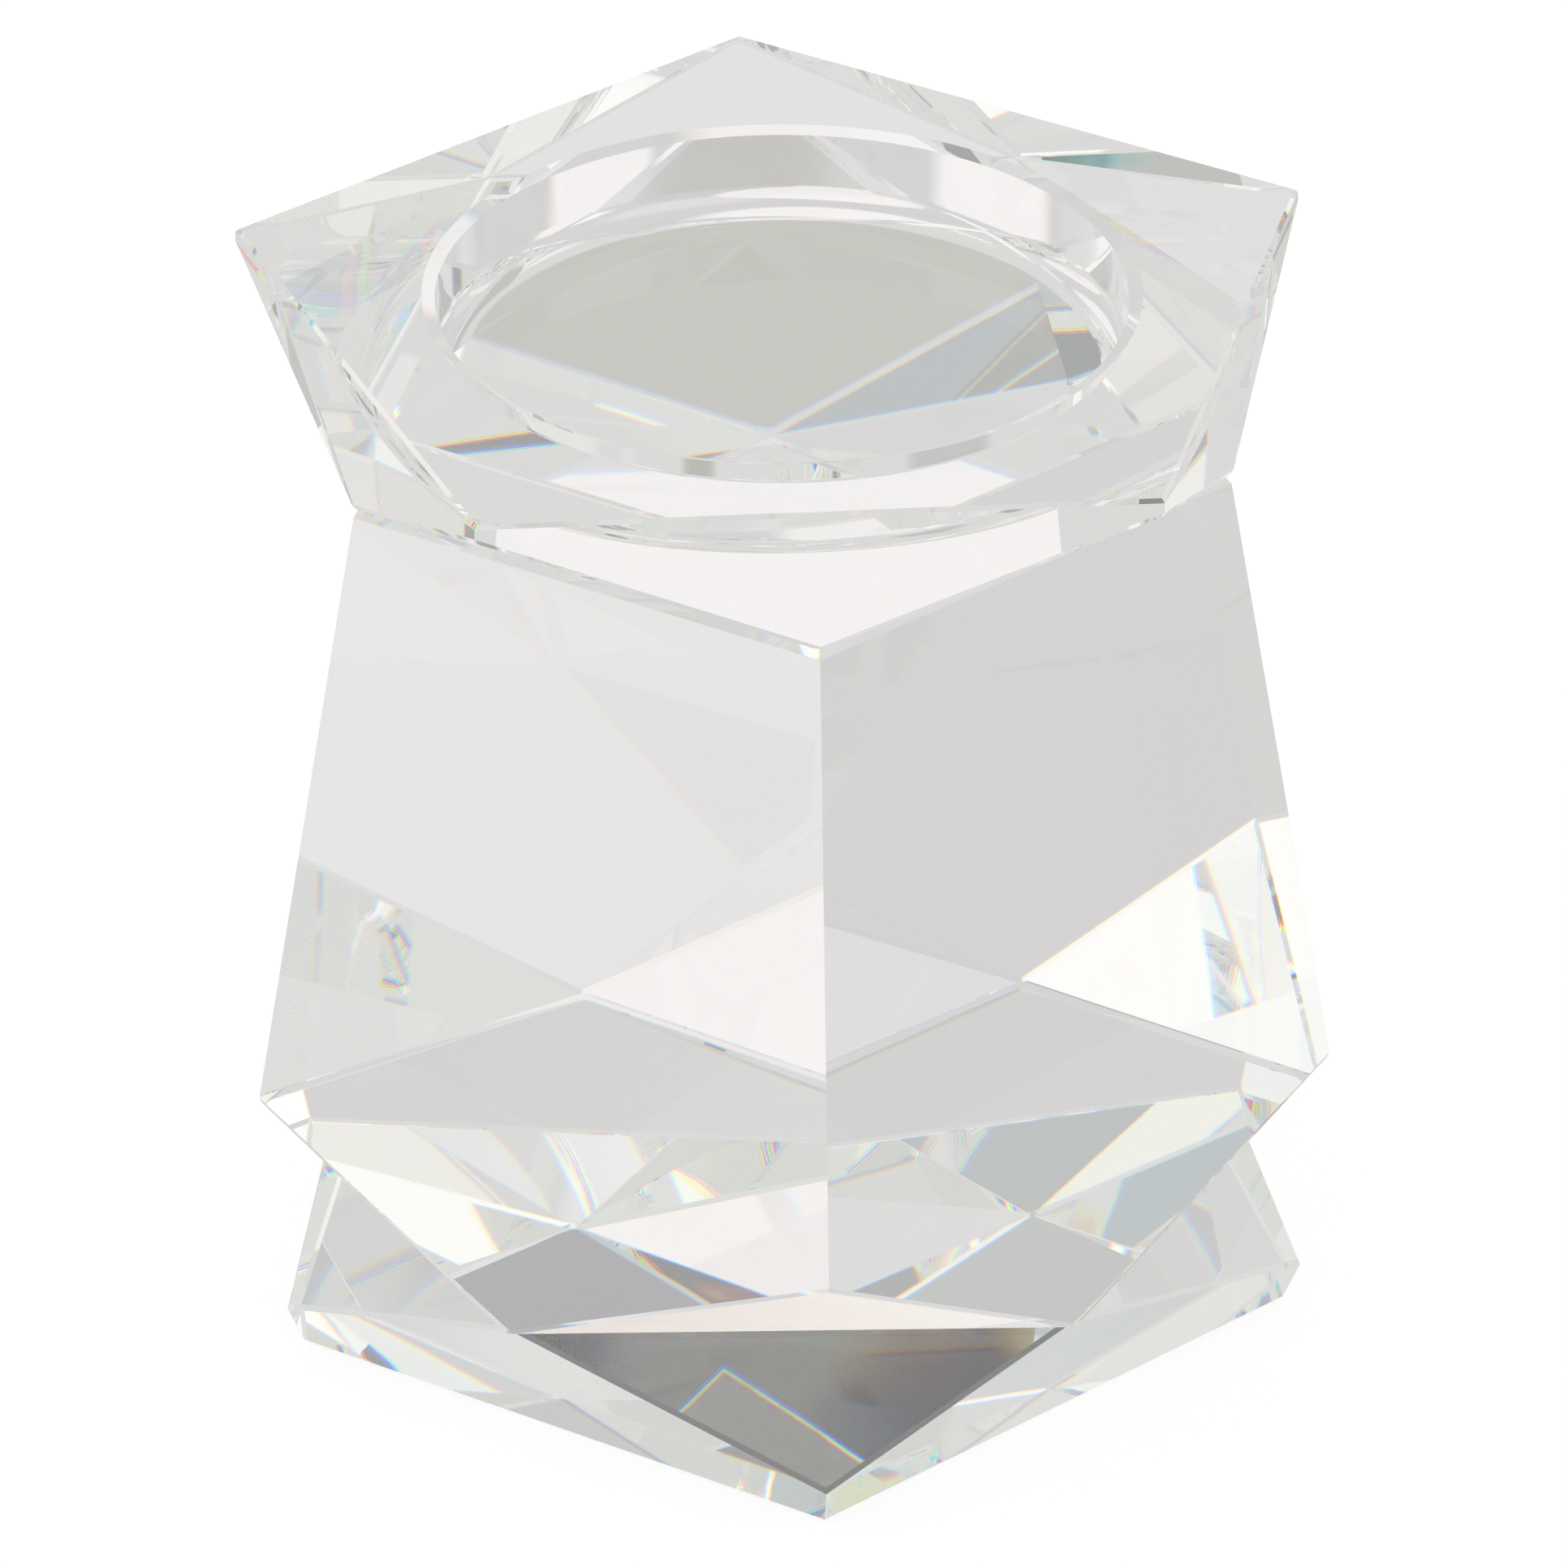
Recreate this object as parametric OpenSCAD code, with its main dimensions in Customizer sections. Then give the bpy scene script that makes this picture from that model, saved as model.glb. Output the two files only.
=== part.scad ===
// Faceted glass candlestick for one pillar candle.
// Three ground and polished five-sided glass blocks are bonded in a stack.
// Every block is a planar solid: each face is one flat cut, repeated five times.
// Z = 0 is the table. A body corner and the middle of a cup side face -Y.

/* [Overall] */
// Height from the table to the top face
total_height = 127; // [115:1:140]

/* [Cup block] */
// Height of the top block
cup_height = 17; // [15:0.5:20]
// Distance from the axis to a side, at the top face
cup_top_apothem = 51.9; // [50:0.1:56]
// Distance from the axis to a side, at the neck
cup_neck_apothem = 52.3; // [50:0.1:56]
// Length of the short upright edge at each top corner
cup_corner_edge = 2; // [1:0.25:4]

/* [Candle well] */
// Diameter of the round well
well_diameter = 78.5; // [74:0.5:84]
// Depth of the well below the top face
well_depth = 10.2; // [7:0.2:12]
// Radius between the wall and the floor of the well
well_fillet = 3; // [1:0.5:4]
// Width of the polished bevel round the mouth of the well
rim_bevel_width = 1.5; // [0.5:0.1:2]
// Depth of the polished bevel round the mouth of the well
rim_bevel_depth = 0.6; // [0.3:0.1:2]

/* [Body block] */
// Distance from the axis to a side, at the neck
neck_apothem = 42; // [38:0.5:46]
// How far the sides lean out on the way down, in degrees
body_flare = 8.2; // [5:0.2:11]
// Height of the widest corners above the table
shoulder_height = 34.5; // [28:0.5:42]
// Height of the bevel round the top of the body
neck_bevel_height = 1.2; // [0.4:0.1:2]
// Width of the bevel round the top of the body
neck_bevel_width = 0.8; // [0.4:0.1:1.2]

/* [Waist] */
// Height of the joint between body and base
waist_height = 15.8; // [12:0.1:20]
// Turn of the waist away from the middle of the sides, in degrees
waist_turn = -3.3; // [-6:0.1:6]

/* [Base block] */
// Distance from the axis to a side, at the waist
base_apothem = 54.1; // [50:0.1:56]
// How far the sides lean in on the way down, in degrees
base_taper = 18.3; // [10:0.1:24]
// Height of the lower corners above the table
base_corner_height = 5.6; // [4:0.2:9]

/* [Polished edges] */
// Width of the flat bevel on the cut edges
edge_bevel = 0.7; // [0.2:0.1:1]
// Width of the bevel round the top face and the foot
rim_edge_bevel = 0.6; // [0.2:0.1:1]
// Width of the bevel on each side of the waist joint
waist_bevel = 0.3; // [0.2:0.1:0.5]
// Thickness of the clear adhesive between two blocks
bond_film = 0.15; // [0.1:0.05:0.3]

/* [Hidden] */

sides = 5;
turn = 360 / sides;
half_turn = turn / 2;
front = -90;
reach = 200;
round_detail = 180;

cup_bottom = total_height - cup_height;
body_top = cup_bottom - bond_film;
body_bottom = waist_height + bond_film;
neck_face_apothem = neck_apothem - neck_bevel_width;
bond_inset = 0.4;

glass = [0.86, 0.9, 0.9, 0.45];
adhesive = [0.95, 0.96, 0.9, 0.35];

// ---- points and directions ------------------------------------------

function unit(v) = v / norm(v);
function at(radius, angle, z) = [radius * cos(angle), radius * sin(angle), z];
function corner_radius(apothem) = apothem / cos(half_turn);

// Normal of the flat face through three points, facing away from the axis.
function facing(a, b, c) =
    let (n = unit(cross(b - a, c - a)), middle = a + b + c)
    n.x * middle.x + n.y * middle.y > 0 ? n : -n;

// Distance from the axis to a leaning side, at height z.
function cup_apothem(z) = cup_neck_apothem
    + (cup_top_apothem - cup_neck_apothem) * (z - cup_bottom) / cup_height;
function body_apothem(z) = neck_apothem + (body_top - z) * tan(body_flare);
function base_side(z) = base_apothem - (waist_height - z) * tan(base_taper);

// ---- flat cuts ------------------------------------------------------

// Everything behind the flat face with this normal, through this point.
module keep_inside(normal, point) {
    rotate([0, acos(normal.z), atan2(normal.y, normal.x)])
        translate([-reach, -reach, normal * point - 2 * reach])
            cube(2 * reach);
}

// Flat bevel of the given width along the edge between two faces.
module bevel(n1, n2, point, width = edge_bevel) {
    n = unit(n1 + n2);
    depth = width / 2 * tan(acos(n1 * n2) / 2);
    keep_inside(n, point - depth * n);
}

// Five copies of a set of cuts, kept only where all of them agree.
module five_fold() {
    intersection_for(i = [0 : sides - 1])
        rotate([0, 0, i * turn])
            children();
}

module layer(from, to) {
    translate([0, 0, from])
        cylinder(h = to - from, r = reach / 2, $fn = sides);
}

up = [0, 0, 1];
down = [0, 0, -1];

// ---- cup block ------------------------------------------------------

// The side faces the front; the corner facet sits half a turn further on.
module cup_cuts() {
    top = at(corner_radius(cup_top_apothem), front + half_turn, total_height);
    top_left = at(corner_radius(cup_top_apothem), front - half_turn, total_height);
    neck = at(cup_neck_apothem, front, cup_bottom);
    neck_right = at(cup_neck_apothem, front + turn, cup_bottom);
    edge_z = total_height - cup_corner_edge;
    corner = at(corner_radius(cup_apothem(edge_z)), front + half_turn, edge_z);
    corner_left = at(corner_radius(cup_apothem(edge_z)), front - half_turn, edge_z);
    side = facing(top, top_left, neck);
    facet = facing(corner, neck, neck_right);
    facet_left = facing(corner_left, neck, at(cup_neck_apothem, front - turn, cup_bottom));
    intersection() {
        keep_inside(side, neck);
        keep_inside(facet, neck);
        bevel(side, facet, neck);
        bevel(side, facet_left, neck);
        bevel(side, up, top, rim_edge_bevel);
        bevel(facet, down, neck, rim_edge_bevel);
    }
}

module well() {
    radius = well_diameter / 2;
    overrun = 1;
    translate([0, 0, total_height - well_depth])
        rotate_extrude($fn = round_detail) {
            square([radius - well_fillet, well_depth + overrun]);
            translate([0, well_fillet])
                square([radius, well_depth - well_fillet + overrun]);
            intersection() {
                translate([radius - well_fillet, well_fillet])
                    circle(r = well_fillet, $fn = round_detail);
                square(radius);
            }
            polygon([
                [0, well_depth - rim_bevel_depth],
                [radius, well_depth - rim_bevel_depth],
                [radius + rim_bevel_width, well_depth],
                [radius + rim_bevel_width, well_depth + overrun],
                [0, well_depth + overrun]
            ]);
        }
}

module cup_block() {
    color(glass)
        difference() {
            intersection() {
                layer(cup_bottom, total_height);
                five_fold() cup_cuts();
            }
            well();
        }
}

// ---- body block -----------------------------------------------------

// The corner faces the front; sides sit half a turn either way.
module body_cuts() {
    neck = at(corner_radius(body_apothem(body_top)), front, body_top);
    shoulder = at(corner_radius(body_apothem(shoulder_height)), front, shoulder_height);
    shoulder_right = at(norm([shoulder.x, shoulder.y]), front + turn, shoulder_height);
    waist_radius = body_apothem(body_bottom) / cos(waist_turn);
    waist = at(waist_radius, front + half_turn + waist_turn, body_bottom);
    waist_left = at(waist_radius, front - half_turn + waist_turn, body_bottom);
    waist_right = at(waist_radius, front + half_turn + turn + waist_turn, body_bottom);
    side = facing(neck, shoulder, shoulder_right);
    facet = facing(shoulder, waist, waist_left);
    facet_right = facing(shoulder_right, waist, waist_right);
    rim = at(neck_face_apothem, front + half_turn, body_top);
    rim_low = at(body_apothem(body_top - neck_bevel_height), front + half_turn,
                 body_top - neck_bevel_height);
    rim_side = cross(side, up);
    intersection() {
        keep_inside(side, shoulder);
        keep_inside(facet, shoulder);
        keep_inside(facing(rim, rim_low, rim + rim_side), rim);
        bevel(side, facet, waist);
        bevel(side, facet_right, waist);
        bevel(facet, down, waist, waist_bevel);
    }
}

module body_block() {
    color(glass)
        intersection() {
            layer(body_bottom, body_top);
            five_fold() body_cuts();
        }
}

// ---- base block -----------------------------------------------------

module base_cuts() {
    corner = at(corner_radius(base_side(base_corner_height)), front, base_corner_height);
    corner_right = at(norm([corner.x, corner.y]), front + turn, base_corner_height);
    foot = at(corner_radius(base_side(0)), front, 0);
    waist_radius = base_side(waist_height) / cos(waist_turn);
    waist = at(waist_radius, front + half_turn + waist_turn, waist_height);
    waist_left = at(waist_radius, front - half_turn + waist_turn, waist_height);
    waist_right = at(waist_radius, front + half_turn + turn + waist_turn, waist_height);
    side = facing(foot, corner, corner_right);
    facet = facing(corner, waist, waist_left);
    facet_right = facing(corner_right, waist, waist_right);
    intersection() {
        keep_inside(side, corner);
        keep_inside(facet, corner);
        bevel(side, facet, waist);
        bevel(side, facet_right, waist);
        bevel(facet, up, waist, waist_bevel);
        bevel(side, down, foot, rim_edge_bevel);
    }
}

module base_block() {
    color(glass)
        intersection() {
            layer(0, waist_height);
            five_fold() base_cuts();
        }
}

// ---- adhesive -------------------------------------------------------

// Thin clear film, held back a little from the edges of the joint.
module bond(radius, angle, z) {
    color(adhesive)
        translate([0, 0, z])
            rotate([0, 0, angle])
                cylinder(h = bond_film, r = radius - bond_inset, $fn = sides);
}

module lower_bond() {
    radius = base_side(waist_height) - waist_bevel;
    bond(radius, front + half_turn + waist_turn, waist_height);
}

module upper_bond() {
    bond(corner_radius(neck_face_apothem), front, body_top);
}

base_block();
lower_bond();
body_block();
upper_bond();
cup_block();
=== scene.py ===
import math

import bpy
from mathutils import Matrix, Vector


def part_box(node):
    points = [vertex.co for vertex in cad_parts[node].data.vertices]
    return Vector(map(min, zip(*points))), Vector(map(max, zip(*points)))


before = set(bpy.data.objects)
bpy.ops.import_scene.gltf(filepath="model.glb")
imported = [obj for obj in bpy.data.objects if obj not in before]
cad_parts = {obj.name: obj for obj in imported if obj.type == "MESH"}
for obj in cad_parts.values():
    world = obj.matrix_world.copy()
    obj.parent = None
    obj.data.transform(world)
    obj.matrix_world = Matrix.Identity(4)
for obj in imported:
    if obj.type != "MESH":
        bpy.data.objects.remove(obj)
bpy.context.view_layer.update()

MM = 0.001

# ---- glass ----------------------------------------------------------

GLASS_IOR = 1.517
GLASS_TINT = (0.995, 0.997, 0.993, 1)
# This tint doesn't show in a render: each film lies wholly inside a clear joint.
ADHESIVE_TINT = (0.997, 0.996, 0.988, 1)
# Polishing leaves each face very slightly wavy.
WAVES_PER_METRE = 55
WAVE_HEIGHT = 0.012 * MM
# Index of the glass for red, green and blue. The first surface splits the light.
SPECTRUM = (
    (1.512, (1, 0, 0, 1)),
    (1.517, (0, 1, 0, 1)),
    (1.524, (0, 0, 1, 1)),
)

# How far past an adhesive film its joint faces are still looked for.
JOINT_TOLERANCE = 0.02 * MM

BLOCKS = ("base_block", "body_block", "cup_block")
FILMS = ("lower_bond", "upper_bond")


def new_material(name):
    """Material with an empty node tree."""
    material = bpy.data.materials.new(name)
    material.use_nodes = True
    material.node_tree.nodes.clear()
    return material


def add(nt, kind, **inputs):
    """New node, with the named input sockets set."""
    node = nt.nodes.new(kind)
    for key, value in inputs.items():
        node.inputs[key].default_value = value
    return node


def math_node(nt, operation, first, second):
    """Math node; each input is a socket or a plain number."""
    node = nt.nodes.new("ShaderNodeMath")
    node.operation = operation
    for slot, value in enumerate((first, second)):
        if isinstance(value, (int, float)):
            node.inputs[slot].default_value = value
        else:
            nt.links.new(value, node.inputs[slot])
    return node.outputs[0]


def direction(azimuth, elevation):
    """Unit vector; azimuth 0 is the front (-Y) and 90 is the right (+X)."""
    azimuth = math.radians(azimuth)
    elevation = math.radians(elevation)
    return Vector((
        math.sin(azimuth) * math.cos(elevation),
        -math.cos(azimuth) * math.cos(elevation),
        math.sin(elevation),
    ))


def clear_glass(name, tint, joints):
    """Polished glass; it lets rays straight through between the heights of each joint."""
    material = new_material(name)
    nt = material.node_tree
    out = add(nt, "ShaderNodeOutputMaterial")
    place = add(nt, "ShaderNodeTexCoord").outputs["Object"]
    waves = add(nt, "ShaderNodeTexNoise", Scale=WAVES_PER_METRE, Detail=1.0, Roughness=0.4)
    nt.links.new(place, waves.inputs["Vector"])
    face = add(nt, "ShaderNodeBump", Strength=1.0, Distance=WAVE_HEIGHT)
    nt.links.new(waves.outputs[0], face.inputs["Height"])
    glass = add(nt, "ShaderNodeBsdfGlass", IOR=GLASS_IOR, Roughness=0.0, Color=tint)
    nt.links.new(face.outputs["Normal"], glass.inputs["Normal"])
    spread = None
    for ior, colour in SPECTRUM:
        part = add(nt, "ShaderNodeBsdfGlass", IOR=ior, Roughness=0.0, Color=colour)
        nt.links.new(face.outputs["Normal"], part.inputs["Normal"])
        if spread is None:
            spread = part
        else:
            join = add(nt, "ShaderNodeAddShader")
            nt.links.new(spread.outputs[0], join.inputs[0])
            nt.links.new(part.outputs[0], join.inputs[1])
            spread = join
    first = add(nt, "ShaderNodeMixShader")
    nt.links.new(add(nt, "ShaderNodeLightPath").outputs["Is Camera Ray"], first.inputs[0])
    nt.links.new(glass.outputs[0], first.inputs[1])
    nt.links.new(spread.outputs[0], first.inputs[2])
    clear = add(nt, "ShaderNodeBsdfTransparent")
    mix = add(nt, "ShaderNodeMixShader")
    geometry = add(nt, "ShaderNodeNewGeometry")
    split = add(nt, "ShaderNodeSeparateXYZ")
    nt.links.new(geometry.outputs["Position"], split.inputs[0])
    height = split.outputs["Z"]
    bonded = 0.0
    for low, high in joints:
        above = math_node(nt, "GREATER_THAN", height, low)
        below = math_node(nt, "LESS_THAN", height, high)
        bonded = math_node(nt, "MAXIMUM", math_node(nt, "MULTIPLY", above, below), bonded)
    nt.links.new(bonded, mix.inputs[0])
    nt.links.new(first.outputs[0], mix.inputs[1])
    nt.links.new(clear.outputs[0], mix.inputs[2])
    nt.links.new(mix.outputs[0], out.inputs["Surface"])
    return material


joints = []
for film in FILMS:
    low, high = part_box(film)
    joints.append((low[2] - JOINT_TOLERANCE, high[2] + JOINT_TOLERANCE))
glass = clear_glass("optical_glass_clear", GLASS_TINT, joints)
adhesive = clear_glass("clear_adhesive", ADHESIVE_TINT, joints)
for names, material in ((BLOCKS, glass), (FILMS, adhesive)):
    for name in names:
        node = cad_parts[name]
        node.data.materials.clear()
        node.data.materials.append(material)

# ---- studio ---------------------------------------------------------

SURROUND = (0.74, 0.74, 0.73)
# The lights, shades and table that the glass shows, as round patches of the world. The
# table's lighter and darker patches are painted light and painted shade on the plain table.
# A patch has its full colour within the first radius and fades out at the second. Each
# one lies over those before it. All angles are in degrees. They are tuned to the tones
# of the facets as seen from the camera, and the narrow ones serve only a facet or two.
# name, azimuth, elevation, full radius, outer radius, colour
ZONES = (
    ("table", 0, -90, 86, 91, (0.71, 0.705, 0.70)),
    # Painted shade: the table darker at the back.
    ("table_back_shade", -174, -19, 29, 33, (0.66, 0.655, 0.655)),
    # Painted light: a lighter patch of table far to the right.
    ("table_far_right_lit", 144, -44, 8, 11, (0.815, 0.80, 0.80)),
    # Painted shade: a darker patch of table far to the left.
    ("table_far_left_shade", -154, -46, 8, 12, (0.655, 0.645, 0.645)),
    ("table_back_glow", 168, -32, 8, 11, (0.94, 0.91, 0.91)),
    # Painted light: a lighter patch of table at the back, close to the glass.
    ("table_back_near_lit", 175, -53, 5, 9, (0.77, 0.77, 0.775)),
    # Painted light: a lighter patch of table at the far back left.
    ("table_far_corner_lit", -155, -34, 4.5, 8, (0.76, 0.75, 0.76)),
    # Painted light: a lighter patch of table to the left.
    ("table_left_lit", -108, -48, 12, 18, (0.81, 0.80, 0.77)),
    ("table_left_shade", -124, -43.4, 1.5, 3, (0.31, 0.31, 0.31)),
    ("table_left_glow", -69, -60, 4, 8, (0.98, 0.96, 0.95)),
    ("table_right_shade", 60, -45, 13, 19, (0.53, 0.53, 0.52)),
    # Painted shade on the table close to the glass, in front.
    ("table_near_shade", 8, -60, 4, 8, (0.56, 0.56, 0.52)),
    # Painted shade on the table close to the glass, front left.
    ("table_near_left_shade", -30, -58, 4, 7, (0.46, 0.46, 0.43)),
    ("table_right_glow", 38, -29, 7, 13, (0.90, 0.885, 0.86)),
    ("table_front_glow", -19, -32, 6, 11, (0.94, 0.91, 0.90)),
    ("table_front_shade", -18, -2, 4.5, 7, (0.50, 0.525, 0.54)),
    ("table_front_left_shade", -38.5, -8.6, 3, 6, (0.35, 0.36, 0.36)),
    ("left_back_flag", -133, -5, 12, 16, (0.34, 0.34, 0.345)),
    ("left_low_flag", -84, -10, 9, 13, (0.40, 0.40, 0.40)),
    ("right_flag", 99, 8, 13, 18, (0.33, 0.33, 0.335)),
    ("high_right_flag", 106, 54, 9, 12, (0.36, 0.36, 0.36)),
    ("front_flag", 4, 18, 8, 11, (0.33, 0.33, 0.33)),
    # Painted light: the table lighter low at the back.
    ("table_back_lit", -177, -10, 4.5, 9, (0.74, 0.73, 0.735)),
    ("front_low_glow", -29, 3, 3, 5.5, (0.90, 0.90, 0.84)),
    ("horizon_glow", 170, -2.5, 9, 10.5, (0.95, 0.91, 0.91)),
    ("back_left_glow", -163, 2, 4, 7, (1.0, 1.0, 0.99)),
    ("back_low_shade", 178, 16, 5, 12, (0.62, 0.61, 0.60)),
    ("back_right_shade", 158, 35, 6.5, 10, (0.45, 0.44, 0.45)),
    ("back_left_shade", -164, 35, 5, 10, (0.56, 0.57, 0.56)),
    ("right_softbox", 52, 20, 22, 28, (1.05, 1.03, 1.01)),
    ("right_low_glow", 28, 2, 5, 9, (0.88, 0.87, 0.83)),
    ("left_softbox", -97, 53, 20, 27, (0.98, 0.98, 0.96)),
    ("front_panel", 12, 45, 6, 9, (0.94, 0.91, 0.91)),
    ("front_shade", -24, 46, 7, 12, (0.51, 0.53, 0.53)),
    ("front_low_shade", -41, 21.5, 6.5, 8, (0.52, 0.56, 0.575)),
    # Narrow patches of shade high at the back, each for a facet or two.
    ("back_left_narrow_shade", -170.4, 43.5, 1.5, 3, (0.19, 0.19, 0.19)),
    ("back_right_narrow_shade", 158.4, 42.7, 1.5, 3, (0.23, 0.23, 0.23)),
    ("open_top", 150, 80, 14, 16.5, (0.245, 0.245, 0.235)),
    ("top_left_panel", -157, 78, 4, 6, (0.72, 0.72, 0.72)),
    ("ceiling_edge", 157, 68, 1.2, 2.6, (0.52, 0.52, 0.51)),
    ("ceiling_left_dark", 172.5, 69.4, 0.7, 1.5, (0.11, 0.11, 0.11)),
    ("ceiling_dark", 162.8, 69.8, 0.3, 1.2, (0.12, 0.12, 0.13)),
    ("ceiling_right_lift", 160.9, 68.7, 0.5, 1.1, (0.50, 0.50, 0.49)),
    ("ceiling_back_lift", 144.9, 67.4, 0.7, 2, (0.53, 0.53, 0.52)),
    ("front_high_shade", 1.3, 62.9, 1, 2.5, (0.29, 0.29, 0.29)),
    ("back_high_shade", -177.4, 37, 0.8, 2.2, (0.45, 0.45, 0.45)),
    ("right_softbox_edge", 31.8, 30.1, 1.8, 3, (0.64, 0.63, 0.62)),
    # A narrow patch of shade low at the back right.
    ("back_low_narrow_shade", 151.2, 14, 1.2, 2.6, (0.56, 0.56, 0.56)),
    # Painted shade: a small dark patch of table at the back right.
    ("table_back_corner_shade", 119, -45.8, 1.2, 3, (0.44, 0.44, 0.44)),
    # Painted shade: small dark patches of table, at the back and at the front.
    ("table_back_narrow_shade", -172.4, -45.2, 1, 2, (0.33, 0.33, 0.33)),
    ("table_front_narrow_shade", -24.3, -26.6, 1, 2, (0.44, 0.44, 0.44)),
    ("table_corner_glow", -152.3, -23.2, 1, 2.5, (1.0, 0.99, 0.98)),
    ("left_edge_glow", -113.5, -8.7, 1.2, 2.5, (0.93, 0.92, 0.92)),
    ("right_edge_glow", 122.2, -14.2, 1.2, 2.5, (1.05, 1.04, 1.03)),
    ("back_right_glow", 147.4, 23.4, 1.2, 2.8, (1.0, 1.0, 0.99)),
)

world = bpy.data.worlds.new("studio")
bpy.context.scene.world = world
world.use_nodes = True
nt = world.node_tree
nt.nodes.clear()
view = add(nt, "ShaderNodeTexCoord").outputs["Generated"]
colour = add(nt, "ShaderNodeRGB")
colour.outputs[0].default_value = (*SURROUND, 1)
colour = colour.outputs[0]
for name, azimuth, elevation, full, outer, value in ZONES:
    facing = nt.nodes.new("ShaderNodeVectorMath")
    facing.operation = "DOT_PRODUCT"
    facing.inputs[1].default_value = direction(azimuth, elevation)
    nt.links.new(view, facing.inputs[0])
    edge = nt.nodes.new("ShaderNodeMapRange")
    edge.interpolation_type = "SMOOTHSTEP"
    edge.inputs["From Min"].default_value = math.cos(math.radians(outer))
    edge.inputs["From Max"].default_value = math.cos(math.radians(full))
    nt.links.new(facing.outputs["Value"], edge.inputs["Value"])
    zone = nt.nodes.new("ShaderNodeMix")
    zone.data_type = "RGBA"
    zone.name = name
    nt.links.new(edge.outputs["Result"], zone.inputs["Factor"])
    nt.links.new(colour, zone.inputs["A"])
    zone.inputs["B"].default_value = (*value, 1)
    colour = zone.outputs["Result"]
seen = nt.nodes.new("ShaderNodeMix")
seen.data_type = "RGBA"
nt.links.new(add(nt, "ShaderNodeLightPath").outputs["Is Camera Ray"], seen.inputs["Factor"])
nt.links.new(colour, seen.inputs["A"])
seen.inputs["B"].default_value = (1, 1, 1, 1)
background = add(nt, "ShaderNodeBackground", Strength=1.0)
nt.links.new(seen.outputs["Result"], background.inputs["Color"])
world_out = add(nt, "ShaderNodeOutputWorld")
nt.links.new(background.outputs[0], world_out.inputs["Surface"])

# The camera sees a white floor with a soft shadow; the glass sees the zones instead.
FLOOR_HALF = 3.0
FLOOR_GAP = 0.3 * MM
FLOOR_SHADING = 0.25
FLOOR_LIT = 0.6

floor_mesh = bpy.data.meshes.new("floor")
floor_mesh.from_pydata(
    [(-FLOOR_HALF, -FLOOR_HALF, 0), (FLOOR_HALF, -FLOOR_HALF, 0),
     (FLOOR_HALF, FLOOR_HALF, 0), (-FLOOR_HALF, FLOOR_HALF, 0)], [], [(0, 1, 2, 3)]
)
floor = bpy.data.objects.new("floor", floor_mesh)
floor.location.z = -FLOOR_GAP
bpy.context.collection.objects.link(floor)
floor_material = new_material("pale_floor")
nt = floor_material.node_tree
unseen = add(nt, "ShaderNodeBsdfTransparent")
white = add(nt, "ShaderNodeEmission", Strength=1 - FLOOR_SHADING * FLOOR_LIT)
shaded = add(nt, "ShaderNodeBsdfDiffuse", Color=(FLOOR_SHADING, FLOOR_SHADING, FLOOR_SHADING, 1))
seen = add(nt, "ShaderNodeAddShader")
nt.links.new(white.outputs[0], seen.inputs[0])
nt.links.new(shaded.outputs[0], seen.inputs[1])
paper = add(nt, "ShaderNodeMixShader")
nt.links.new(add(nt, "ShaderNodeLightPath").outputs["Is Camera Ray"], paper.inputs[0])
nt.links.new(unseen.outputs[0], paper.inputs[1])
nt.links.new(seen.outputs[0], paper.inputs[2])
out = add(nt, "ShaderNodeOutputMaterial")
nt.links.new(paper.outputs[0], out.inputs["Surface"])
floor_mesh.materials.append(floor_material)

# ---- camera ---------------------------------------------------------

CAMERA_AZIMUTH = -4.6
CAMERA_ELEVATION = 30.65
CAMERA_DISTANCE = 1.268
CAMERA_LENS = 251.1
CAMERA_SENSOR = 36
CAMERA_TARGET = Vector((0.0002, 0, 0.0621))

away = direction(CAMERA_AZIMUTH, CAMERA_ELEVATION)
camera_data = bpy.data.cameras.new("camera")
camera_data.lens = CAMERA_LENS
camera_data.sensor_width = CAMERA_SENSOR
camera = bpy.data.objects.new("camera", camera_data)
bpy.context.collection.objects.link(camera)
camera.location = CAMERA_TARGET + CAMERA_DISTANCE * away
camera.rotation_euler = (-away).to_track_quat("-Z", "Y").to_euler()
bpy.context.scene.camera = camera

# Light crosses many faces before it leaves the stack.
BOUNCES = 32
cycles = bpy.context.scene.cycles
cycles.max_bounces = BOUNCES
cycles.transmission_bounces = BOUNCES
cycles.glossy_bounces = BOUNCES
cycles.transparent_max_bounces = BOUNCES
cycles.use_denoising = True
bpy.context.scene.view_settings.view_transform = "Standard"
